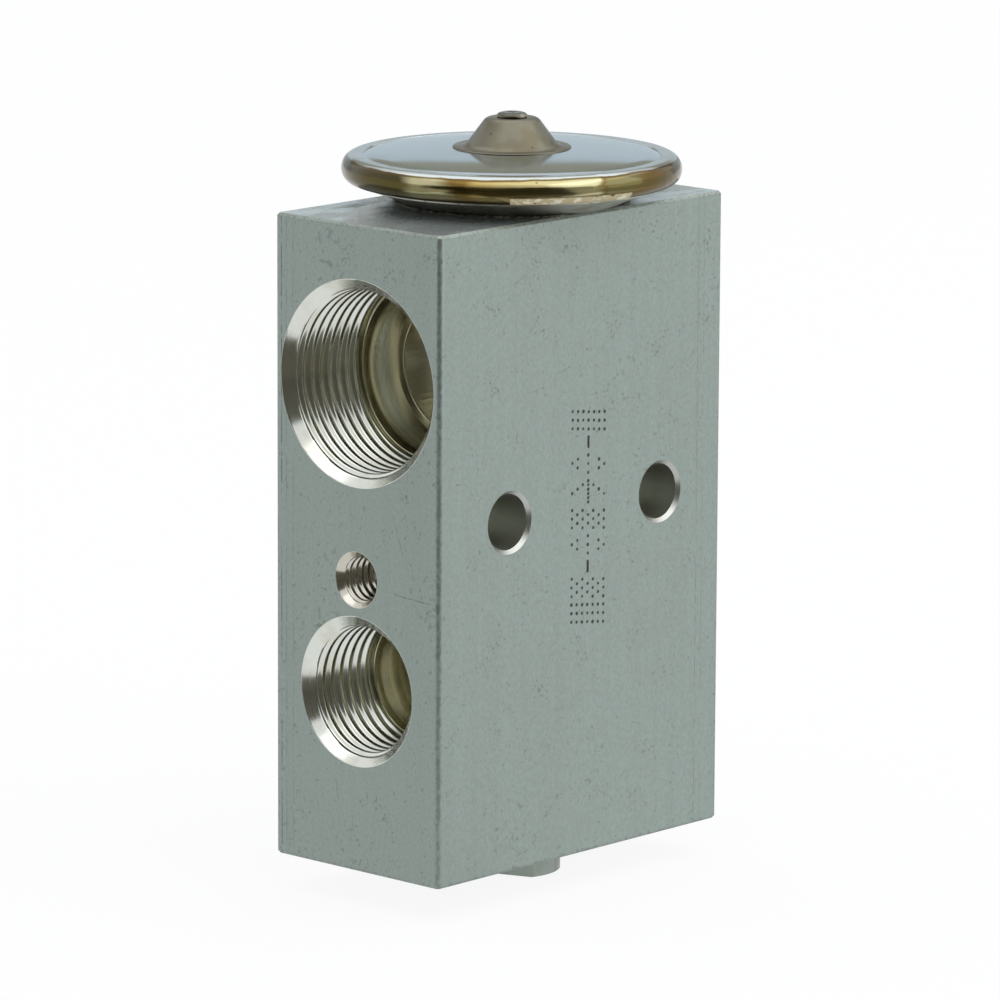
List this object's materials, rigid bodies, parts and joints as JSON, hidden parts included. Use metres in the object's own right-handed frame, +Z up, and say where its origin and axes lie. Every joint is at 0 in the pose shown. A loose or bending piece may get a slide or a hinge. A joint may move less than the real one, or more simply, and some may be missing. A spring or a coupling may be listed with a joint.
{
  "type": "thermostatic expansion valve",
  "caption": "Block-type thermostatic expansion valve with threaded refrigerant ports on both narrow faces, a welded power head on top and an adjusting screw below.",
  "frame": {"origin": "centre of the valve's footprint, level with the lower end of the adjusting screw", "axes": "+Z up the stem towards the power head, X through the threaded ports, Y through the bolt holes"},
  "size_m": [0.0474, 0.0388, 0.088],
  "materials": {
    "block_aluminium": "matt extruded",
    "head_steel": "satin",
    "polished_steel": "polished",
    "tinted_weld": "heat tinted",
    "cap_steel": "satin",
    "plug_steel": "dull",
    "spring_steel": "drawn",
    "rod_aluminium": "turned",
    "screw_aluminium": "turned",
    "brass": "turned",
    "seal_rubber": "moulded",
    "compound": "cured, uneven"
  },
  "bodies": {
    "valve_body": {"valve_body": "block_aluminium", "lower_cover": "head_steel", "upper_cover": "polished_steel", "rim_weld": "tinted_weld", "charging_cap": "cap_steel", "charge_plug": "plug_steel", "diaphragm": "head_steel", "head_seal": "seal_rubber", "sealing_compound": "compound", "rod_seal": "seal_rubber", "rod_seal_retainer": "head_steel", "valve_seat": "head_steel"},
    "stem": {"diaphragm_support": "brass", "sensing_rod": "rod_aluminium", "push_rod": "head_steel", "valve_ball": "polished_steel", "ball_carrier": "brass", "antivibration_spring": "spring_steel", "bias_spring": "spring_steel"},
    "adjuster_carriage": {"adjusting_screw_seal": "seal_rubber"},
    "adjuster": {"adjusting_screw": "screw_aluminium"}
  },
  "joints": [
    {"name": "stem_lift", "type": "slide", "parent": "valve_body", "child": "stem", "axis": [0, 0, 1], "range_m": [-0.0008, 0], "stiffness_N_per_m": 2500, "springref_m": 0.004, "deforming": ["bias_spring"]},
    {"name": "adjuster_advance", "type": "slide", "parent": "valve_body", "child": "adjuster_carriage", "axis": [0, 0, 1], "range_m": [-0.001, 0.001]},
    {"name": "adjuster_turn", "type": "hinge", "parent": "adjuster_carriage", "child": "adjuster", "pos_m": [0.0017, 0, 0], "axis": [0, 0, 1], "range_deg": [-360, 360]}
  ],
  "couplings": [
    {"joint": "adjuster_advance", "follows": "adjuster_turn", "m_per_rad": 0.00015915}
  ]
}
